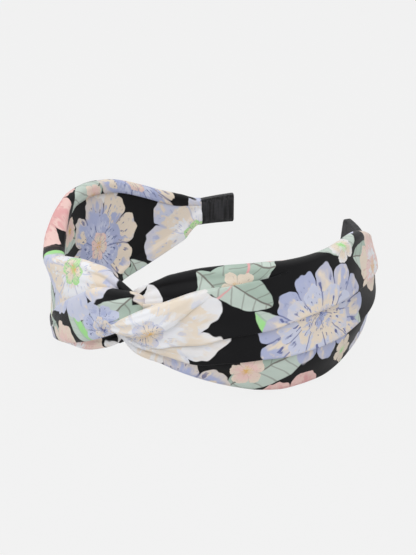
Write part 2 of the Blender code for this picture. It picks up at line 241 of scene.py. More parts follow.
# Share of the arm from the knot to the tip, and the band's height above and below its middle, in mm
EDGES = {
    "right": (
        ((0.00, 14.5), (0.03, 18.2), (0.07, 21.2), (0.11, 23.9), (0.17, 26.4), (0.23, 27.2), (0.30, 27.0),
         (0.37, 25.9), (0.49, 25.0), (0.60, 24.6), (0.66, 23.3), (0.74, 18.4), (0.81, 13.0), (0.88, 9.2),
         (1.00, 7.8)),
        ((0.00, 9.5), (0.03, 14.0), (0.06, 16.8), (0.12, 21.2), (0.17, 24.2), (0.23, 27.6), (0.30, 31.0),
         (0.37, 32.6), (0.46, 32.6), (0.52, 31.7), (0.58, 29.7), (0.66, 26.1), (0.76, 20.9), (0.86, 13.8),
         (0.92, 9.4), (1.00, 7.8)),
    ),
    "left": (
        ((0.00, 15.0), (0.04, 19.5), (0.09, 20.8), (0.14, 20.4), (0.22, 17.2), (0.30, 13.2), (0.35, 12.8),
         (0.40, 18.0), (0.45, 25.2), (0.50, 28.2), (0.56, 28.4), (0.64, 26.5), (0.69, 23.8), (0.75, 19.1),
         (0.83, 12.5), (0.89, 9.0), (1.00, 7.8)),
        ((0.00, 9.0), (0.037, 11.8), (0.08, 16.4), (0.13, 20.1), (0.19, 22.0), (0.27, 27.0), (0.33, 31.0),
         (0.38, 32.6), (0.58, 32.6), (0.64, 29.8), (0.69, 26.6), (0.74, 24.2), (0.80, 20.2), (0.86, 15.0),
         (0.92, 9.4), (1.00, 7.8)),
    ),
}
FOAM_BACK, FOAM_FULL, FOAM_EDGE_SHARE, FOAM_EDGE_WIDTH = 0.0012, 0.0047, 0.30, 0.014
# Shares by which the left pad is pressed in at its lower half and the right one is fuller there, and the
# distances from the knot at which that starts and ends
FOAM_PRESSED, PRESSED_STARTS, PRESSED_ENDS = 0.45, (0.038, 0.055), (0.085, 0.105)
FOAM_FULLER, FULLER_STARTS, FULLER_ENDS = 0.3, (0.070, 0.095), (0.125, 0.150)
FOAM_INSET, FOAM_HINGE_GAP, FOAM_TIP_GAP, FOAM_UNDER_CLOTH = 0.0046, 0.0014, 0.0195, 0.0001
# The pad thins out towards the hoop's tip: the taper's length, and how far back from the tip it runs out
FOAM_TAPER, FOAM_TAPER_END = 0.03, 0.019
SPONGE_CELLS = 1400.0


def smooth_step(value, low, high):
    t = np.clip((value - low) / (high - low), 0, 1)
    return t * t * (3 - 2 * t)


def through(table, shares):
    """Monotone cubic through a table, so that flat stretches stay flat."""
    xs, ys = (np.array(column, float) for column in zip(*table))
    steps = np.diff(xs)
    slopes = np.diff(ys) / steps
    before, after = slopes[:-1], slopes[1:]
    total = np.where(np.abs(before + after) < 1e-12, 1.0, before + after)
    inner = np.where(before * after > 0, 2 * before * after / total, 0.0)
    tangents = np.concatenate((slopes[:1], inner, slopes[-1:]))
    shares = np.asarray(shares, float)
    i = np.clip(np.searchsorted(xs, shares) - 1, 0, len(steps) - 1)
    t, h = np.clip((shares - xs[i]) / steps[i], 0, 1), steps[i]
    rise = ys[i] * (1 + 2 * t) * (1 - t) ** 2 + ys[i + 1] * t * t * (3 - 2 * t)
    return rise + h * (tangents[i] * t * (1 - t) ** 2 + tangents[i + 1] * t * t * (t - 1))


def edge_heights(label, distance):
    """Top and bottom of the band in metres, at a distance from the knot along one arm."""
    shares = np.clip(np.asarray(distance, float) / REACH[label], 0, 1)
    top, drop = EDGES[label]
    return through(top, shares) / 1000, -through(drop, shares) / 1000


def foam_face(label, distance, height):
    """Offset of the foam's outer face: full in the middle and thin at its edges."""
    top, low = edge_heights(label, distance)
    inside = np.minimum(top - height, height - low)
    share = FOAM_EDGE_SHARE + (1 - FOAM_EDGE_SHARE) * smooth_step(inside, 0.0, FOAM_EDGE_WIDTH)
    if label == "left":
        pressed = smooth_step(distance, *PRESSED_STARTS) * (1 - smooth_step(distance, *PRESSED_ENDS))
        share = share * (1 - FOAM_PRESSED * pressed * (1 - smooth_step(height, -0.002, 0.008)))
    else:
        fuller = smooth_step(distance, *FULLER_STARTS) * (1 - smooth_step(distance, *FULLER_ENDS))
        share = share + FOAM_FULLER * fuller * smooth_step(-height, 0.004, 0.016)
    return FOAM_BACK + (FOAM_FULL - FOAM_BACK) * share


def laid_mesh(name, grid, material, uv=None, closed=False, ends=()):
    """Mesh over rows of points. uv holds the cloth's own flat coordinates, in metres."""
    rows, count = grid.shape[:2]
    span = count if closed else count - 1
    faces, corners = [], []
    for i in range(rows - 1):
        for j in range(span):
            k = (j + 1) % count
            faces.append((i * count + j, (i + 1) * count + j, (i + 1) * count + k, i * count + k))
            corners.extend(((i, j), (i + 1, j), (i + 1, j + 1), (i, j + 1)))
    if "first" in ends:
        faces.append(tuple(range(count)))
        corners.extend((0, j) for j in range(count))
    if "last" in ends:
        faces.append(tuple(range(rows * count - 1, (rows - 1) * count - 1, -1)))
        corners.extend((rows - 1, j) for j in range(count - 1, -1, -1))
    data = bpy.data.meshes.new(name)
    data.from_pydata(grid.reshape(-1, 3).tolist(), [], faces)
    if uv is not None:
        layer = data.uv_layers.new(name="cloth")
        layer.data.foreach_set("uv", np.array([uv[i, j] for i, j in corners], np.float32).ravel())
    data.materials.append(material)
    data.shade_smooth()
    piece = bpy.data.objects.new(name, data)
    scene.collection.objects.link(piece)
    return piece


sponge, tree, shader = new_material("white_sponge")
where = wire(tree, "ShaderNodeTexCoord").outputs["Object"]
cells = wire(tree, "ShaderNodeTexVoronoi", (where, None, SPONGE_CELLS), feature="DISTANCE_TO_EDGE")
cells = cells.outputs[0]
feed(
    tree, shader, Base_Color=tint(tree, cells, ink(214, 212, 205), ink(240, 238, 232)), Roughness=0.95,
    Normal=bump(tree, 0.4, 0.0004, cells),
)

for label in ("left", "right"):
    distance = np.linspace(HINGE_DISTANCE + FOAM_HINGE_GAP, REACH[label] - FOAM_TIP_GAP, 90)
    top, low = edge_heights(label, distance)
    turn = np.linspace(0, 2 * math.pi, 28, endpoint=False)
    height = (top + low)[:, None] / 2 + ((top - low)[:, None] / 2 - FOAM_INSET) * np.cos(turn)[None]
    face = foam_face(label, distance[:, None], height)
    thin = np.clip((REACH[label] - FOAM_TAPER_END - distance) / FOAM_TAPER, 0.05, 1)[:, None]
    lift = np.clip(np.abs(np.sin(turn)) * 3, 0, 1)[None]
    crowned = FOAM_BACK + (face - FOAM_UNDER_CLOTH - FOAM_BACK) * lift * thin
    out = np.where(np.sin(turn)[None] > 0, crowned, FOAM_BACK)
    grid = on_hoop(SIDE[label] * distance[:, None], height, out)
    if label == "right":
        grid = grid[:, ::-1]
    pad = laid_mesh(f"foam_pad_{label}", grid, sponge, closed=True, ends=("first", "last"))
    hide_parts(f"foam_{label}")
    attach(pad, f"{label}_arm")


# Printed cloth: the design and the weave
# A soft woven satin printed with loose garden flowers on black: cream, periwinkle and pink blooms with
# sage leaves, drawn here from plain petal and leaf formulas on the cloth's own flat coordinates.

REPEAT = (0.172, 0.118, 1.0)
PETAL_ROUNDNESS, PETAL_FRILL, FRILL_SEED, PETAL_SEED = 0.45, 0.40, (90.0, 70.0, 0.0), 7919.0
STREAKS_ROUND, STREAKS_ALONG = 4.0, 2.2
LEAF_ROUNDNESS, LEAF_RIBS, LEAF_WASH = 0.75, 7.0, 130.0


def vector(tree, operation, a, b=None, c=None):
    made = wire(tree, "ShaderNodeVectorMath", (a, b, c), operation=operation)
    return made.outputs["Value" if operation == "LENGTH" else "Vector"]


def ease(tree, value, low, high):
    """0 below low, 1 above high and smooth between."""
    inputs = (value, low, high, 0.0, 1.0)
    return wire(tree, "ShaderNodeMapRange", inputs, interpolation_type="SMOOTHSTEP").outputs[0]


def new_group(name, inputs, outputs):
    """A shader node group with named sockets, and its own ends to wire between."""
    group = bpy.data.node_groups.new(name, "ShaderNodeTree")
    for way, sockets in (("INPUT", inputs), ("OUTPUT", outputs)):
        for label, kind in sockets:
            group.interface.new_socket(label, in_out=way, socket_type=f"NodeSocket{kind}")
    return group, group.nodes.new("NodeGroupInput").outputs, group.nodes.new("NodeGroupOutput").inputs


def placed(tree, name, **inputs):
    """One use of a node group inside another tree."""
    made = wire(tree, "ShaderNodeGroup", node_tree=bpy.data.node_groups[name])
    feed(tree, made, **inputs)
    return made.outputs[0]


def polar(tree, place, centre, radius, turn):
    """Offset from a motif's middle, its length in radii and its angle, over a repeating cloth."""
    offset = vector(tree, "SUBTRACT", place, centre)
    half = tuple(side / 2 for side in REPEAT)
    near = vector(tree, "WRAP", offset, half, tuple(-side for side in half))
    parts = wire(tree, "ShaderNodeSeparateXYZ", (near,)).outputs
    reach = calc(tree, "DIVIDE", vector(tree, "LENGTH", near), radius)
    angle = calc(tree, "ADD", calc(tree, "ARCTAN2", parts[1], parts[0]), turn)
    return near, reach, angle


# One ring of petals: a notched outline, a tone for each petal, crisp patches and brushed strokes
group, given, made = new_group(
    "petal_ring",
    (("Place", "Vector"), ("Under", "Color"), ("Centre", "Vector"), ("Radius", "Float"),
     ("Turn", "Float"), ("Petals", "Float"), ("Notch", "Float"), ("Heart", "Color"), ("Petal", "Color"),
     ("Edge", "Color"), ("Line", "Color"), ("Strokes", "Float"), ("Patches", "Float")),
    (("Color", "Color"),),
)
near, reach, angle = polar(group, given["Place"], given["Centre"], given["Radius"], given["Turn"])
lobes = calc(group, "MULTIPLY", angle, calc(group, "MULTIPLY", given["Petals"], 0.5))
crest = calc(group, "ABSOLUTE", calc(group, "COSINE", lobes))
shrink = calc(group, "DIVIDE", 1.0, given["Radius"])
frill_at = wire(group, "ShaderNodeVectorMath", (near, None, None, shrink), operation="SCALE").outputs[0]
seeded = vector(group, "ADD", frill_at, vector(group, "MULTIPLY", given["Centre"], FRILL_SEED))
frill = noise(group, seeded, 2.6, 2.0, 0.55)
hollow = calc(group, "SUBTRACT", 1.0, calc(group, "POWER", crest, PETAL_ROUNDNESS))
outline = calc(group, "SUBTRACT", 1.0, calc(group, "MULTIPLY", given["Notch"], hollow))
outline = calc(group, "ADD", outline, calc(group, "MULTIPLY_ADD", frill, PETAL_FRILL, -PETAL_FRILL / 2))
gap = calc(group, "SUBTRACT", outline, reach)
body = ease(group, gap, 0.0, 0.02)
ray_at = wire(group, "ShaderNodeCombineXYZ", (
    calc(group, "MULTIPLY", angle, STREAKS_ROUND), calc(group, "MULTIPLY", reach, STREAKS_ALONG),
    given["Radius"])).outputs[0]
streak = noise(group, ray_at, 2.0, 2.0, 0.55)
tone = calc(group, "ADD", calc(group, "DIVIDE", reach, outline), calc(group, "SUBTRACT", streak, 0.5))
color = tint(group, ease(group, tone, 0.10, 0.40), given["Heart"], given["Petal"])
petal_number = calc(group, "FLOOR", calc(group, "MULTIPLY_ADD", lobes, 1 / math.pi, 0.5))
seed = calc(group, "MULTIPLY_ADD", given["Radius"], PETAL_SEED, petal_number)
own_tone = wire(group, "ShaderNodeTexWhiteNoise", (None, seed), noise_dimensions="1D").outputs[0]
patch = calc(group, "ADD", frill, calc(group, "MULTIPLY", own_tone, 0.22))
patch = calc(group, "ADD", patch, calc(group, "MULTIPLY", calc(group, "SUBTRACT", streak, 0.5), 0.35))
patch = calc(group, "MULTIPLY", ease(group, patch, 0.61, 0.66), given["Patches"])
color = tint(group, patch, color, given["Edge"])
pale = calc(group, "MULTIPLY", ease(group, tone, 0.62, 0.95), 0.75)
color = tint(group, pale, color, given["Edge"])
seam = calc(group, "SUBTRACT", 1.0, ease(group, crest, 0.03, 0.17))
seam = calc(group, "MULTIPLY", calc(group, "MULTIPLY", seam, ease(group, reach, 0.25, 0.4)), 0.8)
inner = calc(group, "SUBTRACT", 1.0, ease(group, reach, 0.72, 0.92))
brush = calc(group, "MULTIPLY", ease(group, streak, 0.60, 0.645), inner)
drawn = calc(group, "MULTIPLY", calc(group, "MAXIMUM", seam, brush), given["Strokes"])
color = tint(group, drawn, color, given["Line"])
group.links.new(tint(group, body, given["Under"], color), made["Color"])

# A leaf, a grass blade or a stem: a bent pointed oval with a midrib and slanting side veins
group, given, made = new_group(
    "leaf",
    (("Place", "Vector"), ("Under", "Color"), ("Base", "Vector"), ("Turn", "Float"),
     ("Length", "Float"), ("Width", "Float"), ("Bend", "Float"), ("Light", "Color"), ("Dark", "Color"),
     ("Vein", "Color")),
    (("Color", "Color"),),
)
near, reach, angle = polar(group, given["Place"], given["Base"], given["Length"], given["Turn"])
run = calc(group, "MULTIPLY", reach, calc(group, "COSINE", angle))
aside = calc(group, "MULTIPLY", reach, calc(group, "SINE", angle))
aside = calc(group, "MULTIPLY", aside, given["Length"])
arch = calc(group, "MULTIPLY", run, calc(group, "SUBTRACT", 1.0, run))
aside = calc(group, "SUBTRACT", aside, calc(group, "MULTIPLY", arch, given["Bend"]))
inside = calc(group, "MAXIMUM", calc(group, "MULTIPLY", arch, 4.0), 0.0)
belly = calc(group, "MULTIPLY", calc(group, "POWER", inside, LEAF_ROUNDNESS), given["Width"])
gap = calc(group, "SUBTRACT", belly, calc(group, "ABSOLUTE", aside))
body = ease(group, gap, 0.0, 0.0005)
wash = noise(group, near, LEAF_WASH, 2.0)
half = calc(group, "ADD", ease(group, aside, -0.001, 0.001), calc(group, "SUBTRACT", wash, 0.5))
color = tint(group, half, given["Light"], given["Dark"])
lean = calc(group, "DIVIDE", calc(group, "ABSOLUTE", aside), calc(group, "MAXIMUM", given["Width"], 0.002))
slant = calc(group, "SUBTRACT", calc(group, "MULTIPLY", run, LEAF_RIBS), lean)
ribs = calc(group, "ABSOLUTE", calc(group, "SUBTRACT", calc(group, "FRACT", slant), 0.5))
ribs = calc(group, "SUBTRACT", 1.0, ease(group, ribs, 0.03, 0.09))
midrib = calc(group, "SUBTRACT", 1.0, ease(group, calc(group, "ABSOLUTE", aside), 0.0002, 0.0005))
veins = calc(group, "MAXIMUM", midrib, calc(group, "MULTIPLY", ribs, 0.55))
color = tint(group, calc(group, "MULTIPLY", veins, 0.75), color, given["Vein"])
group.links.new(tint(group, body, given["Under"], color), made["Color"])

BLACK, CREAM, WHITE = ink(17, 17, 19), ink(233, 220, 203), ink(234, 235, 239)
PERIWINKLE, LAVENDER, NAVY = ink(176, 184, 217), ink(203, 208, 229), ink(82, 92, 146)
PINK, BLUSH, ROSE = ink(226, 170, 170), ink(236, 204, 197), ink(200, 128, 132)
SAGE, PALE_SAGE, FRESH = ink(172, 190, 178), ink(198, 211, 202), ink(166, 228, 148)
MUSTARD, TWIG = ink(226, 182, 102), ink(98, 82, 78)

# Light half, dark half and veins of a leaf
SOFT_GREEN, LIME_GREEN, PINK_STEM, BROWN_STEM = (
    (PALE_SAGE, SAGE, TWIG), (FRESH, PALE_SAGE, SAGE), (PINK, PINK, PINK), (TWIG, TWIG, TWIG))
LEAVES = (
    # base, turn, length, width, bend, colours
    ((0.046, 0.046), 0.45, 0.046, 0.0100, 0.010, SOFT_GREEN),
    ((0.050, 0.064), -0.75, 0.040, 0.0085, -0.008, SOFT_GREEN),
    ((0.082, 0.056), 2.2, 0.036, 0.0085, 0.009, SOFT_GREEN),
    ((0.106, 0.058), 0.1, 0.038, 0.0090, -0.009, SOFT_GREEN),
    ((0.136, 0.058), 2.7, 0.034, 0.0080, 0.010, SOFT_GREEN),
    ((0.128, 0.046), -0.5, 0.034, 0.0075, 0.008, SOFT_GREEN),
    ((0.062, 0.100), 0.35, 0.040, 0.0095, 0.009, SOFT_GREEN),
    ((0.128, 0.112), 2.0, 0.034, 0.0080, -0.008, SOFT_GREEN),
    ((0.164, 0.052), 0.6, 0.040, 0.0085, -0.010, SOFT_GREEN),
    ((0.018, 0.078), -2.2, 0.036, 0.0080, 0.008, SOFT_GREEN),
    ((0.072, 0.036), -0.9, 0.030, 0.0052, 0.006, LIME_GREEN),
    ((0.122, 0.098), -1.2, 0.030, 0.0052, -0.006, LIME_GREEN),
    ((0.004, 0.046), 2.4, 0.028, 0.0050, 0.006, LIME_GREEN),
    ((0.066, 0.052), -2.6, 0.034, 0.0008, 0.016, PINK_STEM),
    ((0.066, 0.052), 1.4, 0.030, 0.0008, -0.010, PINK_STEM),
    ((0.126, 0.058), 1.9, 0.036, 0.0008, 0.014, BROWN_STEM),
    ((0.016, 0.112), -2.6, 0.034, 0.0009, -0.014, PINK_STEM),
)
RINGS = (
    # centre, radius, turn, petals, notch, heart, petal, edge, line, strokes, patches
    ((0.030, 0.024), 0.0330, 0.3, 6, 0.34, CREAM, CREAM, WHITE, LAVENDER, 0.45, 0.8),
    ((0.029, 0.025), 0.0205, 0.9, 5, 0.34, CREAM, WHITE, CREAM, LAVENDER, 0.60, 0.8),
    ((0.030, 0.026), 0.0075, 0.1, 7, 0.30, MUSTARD, CREAM, LAVENDER, NAVY, 0.70, 0.6),
    ((0.152, 0.084), 0.0300, 1.0, 7, 0.30, BLUSH, CREAM, LAVENDER, PERIWINKLE, 0.70, 0.9),
    ((0.151, 0.085), 0.0190, 0.4, 6, 0.34, LAVENDER, WHITE, CREAM, PERIWINKLE, 0.70, 0.9),
    ((0.152, 0.085), 0.0070, 0.8, 6, 0.30, MUSTARD, CREAM, FRESH, NAVY, 0.60, 0.6),
    ((0.104, 0.018), 0.0315, 0.6, 15, 0.22, CREAM, CREAM, PERIWINKLE, NAVY, 0.85, 0.8),
    ((0.102, 0.020), 0.0215, 1.1, 11, 0.26, PERIWINKLE, CREAM, LAVENDER, NAVY, 0.90, 0.9),
    ((0.103, 0.021), 0.0115, 0.2, 8, 0.30, NAVY, PERIWINKLE, CREAM, NAVY, 0.90, 0.9),
    ((0.040, 0.091), 0.0265, 0.2, 8, 0.32, NAVY, PERIWINKLE, CREAM, NAVY, 0.80, 1.0),
    ((0.041, 0.090), 0.0165, 0.8, 7, 0.34, NAVY, LAVENDER, PERIWINKLE, NAVY, 0.85, 1.0),
    ((0.041, 0.091), 0.0070, 1.7, 6, 0.30, MUSTARD, CREAM, BLUSH, NAVY, 0.70, 0.8),
    ((0.092, 0.080), 0.0225, 0.9, 6, 0.36, ROSE, PINK, BLUSH, ROSE, 0.45, 0.8),
    ((0.090, 0.081), 0.0135, 0.2, 5, 0.34, BLUSH, CREAM, PINK, ROSE, 0.50, 0.9),
    ((0.091, 0.082), 0.0055, 1.4, 5, 0.30, MUSTARD, BLUSH, PERIWINKLE, NAVY, 0.60, 0.6),
    ((0.152, 0.032), 0.0200, 1.6, 6, 0.34, PINK, BLUSH, CREAM, ROSE, 0.40, 0.9),
    ((0.151, 0.033), 0.0110, 0.6, 5, 0.34, MUSTARD, WHITE, BLUSH, ROSE, 0.50, 0.8),
    ((0.009, 0.060), 0.0130, 0.5, 7, 0.36, NAVY, PERIWINKLE, LAVENDER, NAVY, 0.85, 0.8),
    ((0.009, 0.060), 0.0060, 1.3, 6, 0.30, NAVY, LAVENDER, CREAM, NAVY, 0.80, 0.8),
    ((0.066, 0.056), 0.0074, 0.4, 5, 0.42, MUSTARD, CREAM, CREAM, TWIG, 0.30, 0.5),
    ((0.122, 0.053), 0.0080, 2.0, 5, 0.42, FRESH, CREAM, WHITE, TWIG, 0.30, 0.5),
    ((0.070, 0.108), 0.0076, 0.9, 5, 0.42, MUSTARD, BLUSH, CREAM, ROSE, 0.35, 0.5),
    ((0.120, 0.104), 0.0070, 0.2, 5, 0.42, FRESH, CREAM, CREAM, TWIG, 0.30, 0.5),
)
HAND_WOBBLE, WOBBLE_SCALE = (0.0036, 0.0036, 0.0), 85.0
group, given, made = new_group("garden_print", (("Place", "Vector"),), (("Color", "Color"),))
wobble = wire(group, "ShaderNodeTexNoise", (given["Place"], None, WOBBLE_SCALE, 2.0, 0.5)).outputs[1]
hand = vector(group, "MULTIPLY", vector(group, "SUBTRACT", wobble, (0.5, 0.5, 0.5)), HAND_WOBBLE)
place = vector(group, "ADD", given["Place"], hand)
place = vector(group, "MULTIPLY", place, (1.0, 1.0, 0.0))
color = wire(group, "ShaderNodeRGB").outputs[0]
color.default_value = BLACK
# Each motif takes its place through the one below it, so that a renderer holds one motif at a time
AFTER = (1e-9, 1e-9, 1e-9)
for base, turn, length, width, bend, (light, dark, vein) in LEAVES:
    spot = vector(group, "MULTIPLY_ADD", color, AFTER, place)
    color = placed(
        group, "leaf", Place=spot, Under=color, Base=(*base, 0.0), Turn=-turn, Length=length,
        Width=width, Bend=bend, Light=light, Dark=dark, Vein=vein,
    )
for centre, radius, turn, petals, notch, heart, petal, edge, line, strokes, patches in RINGS:
    spot = vector(group, "MULTIPLY_ADD", color, AFTER, place)
    color = placed(
        group, "petal_ring", Place=spot, Under=color, Centre=(*centre, 0.0), Radius=radius,
        Turn=turn, Petals=petals, Notch=notch, Heart=heart, Petal=petal, Edge=edge, Line=line,
        Strokes=strokes, Patches=patches,
    )
group.links.new(color, made["Color"])

# Satin weave: crossed fine threads with long floats, as a height
WEFT_SLANT, WARP_SHARE, WEFT_SHARE = 0.35, 0.3, 0.7
group, given, made = new_group(
    "satin_weave", (("Place", "Vector"), ("Threads", "Float")), (("Height", "Float"),))
parts = wire(group, "ShaderNodeSeparateXYZ", (given["Place"],)).outputs
warp = calc(group, "SINE", calc(group, "MULTIPLY", parts[0], given["Threads"]))
slanted = calc(group, "MULTIPLY_ADD", parts[0], WEFT_SLANT, parts[1])
weft = calc(group, "SINE", calc(group, "MULTIPLY", slanted, given["Threads"]))
weave = calc(group, "MULTIPLY_ADD", warp, WARP_SHARE, calc(group, "MULTIPLY", weft, WEFT_SHARE))
group.links.new(weave, made["Height"])

# Threads are counted in radians to the metre
SATIN_THREADS, CLOTH_UNEVEN, CLOTH_CREASES = 14000.0, 60.0, 140.0


def printed_cloth(name, roughness, sheen):
    """Satin or lining with the print, its weave and the faint unevenness of pressed cloth."""
    material, tree, shader = new_material(name)
    place = wire(tree, "ShaderNodeUVMap", uv_map="cloth").outputs[0]
    color = placed(tree, "garden_print", Place=place)
    uneven = noise(tree, place, CLOTH_UNEVEN, 3.0)
    shade = wire(tree, "ShaderNodeMapRange", (uneven, 0.3, 0.7, 0.94, 1.0)).outputs[0]
    grey = wire(tree, "ShaderNodeCombineColor", (shade, shade, shade)).outputs[0]
    color = tint(tree, 1.0, color, grey, "MULTIPLY")
    weave = placed(tree, "satin_weave", Place=place, Threads=SATIN_THREADS)
    crease = noise(tree, place, CLOTH_CREASES, 2.0)
    height = calc(tree, "MULTIPLY_ADD", weave, 0.12, crease)
    feed(
        tree, shader, Base_Color=color, Roughness=calc(tree, "MULTIPLY_ADD", weave, 0.05, roughness),
        Sheen_Weight=sheen, Sheen_Roughness=0.4, Specular_IOR_Level=0.13,
        Normal=bump(tree, 0.25, 0.0005, height),
    )
    return material


satin = printed_cloth("printed_satin", roughness=0.5, sheen=0.03)
lining_cloth = printed_cloth("printed_lining", roughness=0.62, sheen=0.02)


# Outer cloth
# One strip of printed satin to each arm, pleated lengthwise where it is drawn into the knot and the tip,
# and turned in over the foam's edges. Each pleat is a real fold, so the print breaks along it.

CLOTH_WALL, CLOTH_RISE, CLOTH_TIP_GAP = 0.00035, 0.0006, 0.0160
LIP_FACE, LIP_DEPTH, LIP_TIP_RISE, EDGE_ROUND = -0.0032, 0.0060, 0.0008, 0.0022
LIP_SHARES, EDGE_POINTS, RUN_POINTS, LAST_RUN_POINTS = (1.0, 0.6, 0.25), 10, 20, 18
PLEAT_HEIGHT, PLEAT_TUCK, PLEAT_SPREAD, PLEAT_MARGIN = 0.0017, 0.0036, 0.011, 0.0004
# Height of the small gathers at the knot and at the tip, and the lengths over which they fade
KNOT_GATHER, TIP_GATHER = (0.0014, 0.026), (0.0006, 0.014)
# Folds across the strip where it is gathered, and the length over which they wander
BROAD_FOLDS, FINE_FOLDS, FOLD_WANDER, WANDER_LENGTH = 5.2, 8.7, 0.35, 0.017
# Distances from the knot at which the strip leaves it, "over" tucks deepen and the left pleats calm
KNOT_EXIT, TUCKS_DEEPEN, LEFT_CALMS = (0.001, 0.017), (0.001, 0.016), (0.042, 0.058)
TIP_TAPER, TIP_SLIMMING = 0.030, 0.5
# Depth into the fold as a share of the tuck, and height in it as a share of the fold's rise
PLEAT_LAYERS = ((0.35, 0.0), (1.0, 0.05), (1.08, 0.28), (1.0, 0.5), (0.4, 0.52), (0.0, 0.55))
TIP_HALF_HEIGHT = 0.0066
TIP_TWIST = {"left": 0.0, "right": 0.12}
# Heights of each pleat in mm at distances from the knot. "under": the cloth above runs under the fold
PLEATS = {
    "right": (
        ("under", ((-8, 4), (0, 9), (13.5, 12.5), (20, 13.9), (26, 15.9), (35, 18.9), (44, 20.4),
                   (58, 22.0), (70, 23.6), (80, 25.2), (90, 26.5), (190, 26.5))),
        ("over", ((-8, 1), (0, -3), (13, -7.2), (19, -6.0), (29, -5.0), (39, -2.2), (49, -1.3),
                  (57, -1.0), (65, 0.2), (75, 1.6), (95, 2.2), (120, 1.2), (145, -0.3), (165, -0.4),
                  (190, -0.4))),
        ("over", ((-8, -1.4), (0, -6.5), (15, -11.4), (29, -14.8), (38, -13.8), (52, -13.9),
                  (65, -15.0), (81, -14.8), (100, -14.0), (120, -12.6), (145, -8.4), (157, -5.2),
                  (165, -3.7), (190, -3.5))),
    ),
    "left": (
        ("under", ((-8, 7), (0, 11.5), (7, 13.6), (14, 11.6), (18, 9.5), (23, 6.2), (31, 1.6), (39, -3.4),
                   (49, -11.5), (60, -18.5), (75, -22.5), (100, -23.5), (120, -22.5), (140, -17.0),
                   (160, -7.5), (178, -3.4), (205, -3.2))),
        ("over", ((-8, 4.5), (0, -1.5), (7, -5.3), (13, -8.8), (21.5, -12.8), (32, -17.2), (45, -21.0),
                  (58, -26.5), (70, -32.0), (80, -34.0), (205, -34.0))),
    ),
}
# Top and bottom of each strip in mm where it enters the knot and passes behind the other strip
KNOT_EDGES = {
    "right": (((-8, 1.0), (-4, 7.5), (-1, 12.0), (2, 15.0), (5.7, 17.5), (12.9, 21.2), (18.5, 24.4)),
              ((-8, 2.4), (-5, 4.0), (-1.6, 7.0), (1.6, 10.9), (5, 13.2), (10.7, 16.0), (18.5, 19.6))),
    "left": (((-8, 6.5), (-6.6, 8.4), (-5, 11.5), (-2, 15.0), (3, 19.0), (8, 20.5), (18.5, 21.0)),
             ((-8, -5.5), (-4, 2.0), (2, 8.0), (7.4, 11.8), (12, 14.6), (18.5, 17.8))),
}
KNOT_TILT, KNOT_LIFT = {"right": -0.0032, "left": 0.0032}, 0.0010
# Height of the roll along the top edge, and the distances from the knot at which it starts and ends
ROLLED_EDGE = {"right": 0.0, "left": 0.0032}
ROLL_STARTS, ROLL_ENDS = (0.030, 0.052), (0.074, 0.095)


def hinge_span(label, before, after):
    """Points on the hoop either side of one arm's hinge."""
    spots = [HINGE_DISTANCE - before, HINGE_DISTANCE + after]
    return [tuple(on_hoop(SIDE[label] * spot, 0.0, 0.0)) for spot in spots]


def give_wall(piece, wall):
    """Thickens a cloth inwards from its outer face, and leaves it as a plain mesh."""
    solid = piece.modifiers.new("wall", "SOLIDIFY")
    solid.thickness = wall
    solid.offset = -1.0
    graph = bpy.context.evaluated_depsgraph_get()
    plain = bpy.data.meshes.new_from_object(piece.evaluated_get(graph))
    piece.modifiers.clear()
    piece.data = plain


def cloth_end(label):
    """Distance from the knot at which the printed cloth ends, under the ribbon."""
    return REACH[label] - CLOTH_TIP_GAP


def twist(label, distance):
    """Lean of the arm's end, outwards for each metre of height."""
    return TIP_TWIST[label] * smooth_step(distance, REACH[label] - 0.045, REACH[label] - 0.010)


def strip_edges(label, distance, knotted=True):
    """Top and bottom of the cloth: drawn in at the tip, and at the knot where it is knotted."""
    top, low = edge_heights(label, distance)
    if knotted:
        knot_top, knot_drop = KNOT_EDGES[label]
        near = 1 - smooth_step(distance, 0.012, 0.0185)
        top = top + (through(knot_top, distance * 1000) / 1000 - top) * near
        low = low + (-through(knot_drop, distance * 1000) / 1000 - low) * near
    end = cloth_end(label)
    drawn_in = smooth_step(distance, end - 0.010, end)
    return top + (TIP_HALF_HEIGHT - top) * drawn_in, low + (-TIP_HALF_HEIGHT - low) * drawn_in


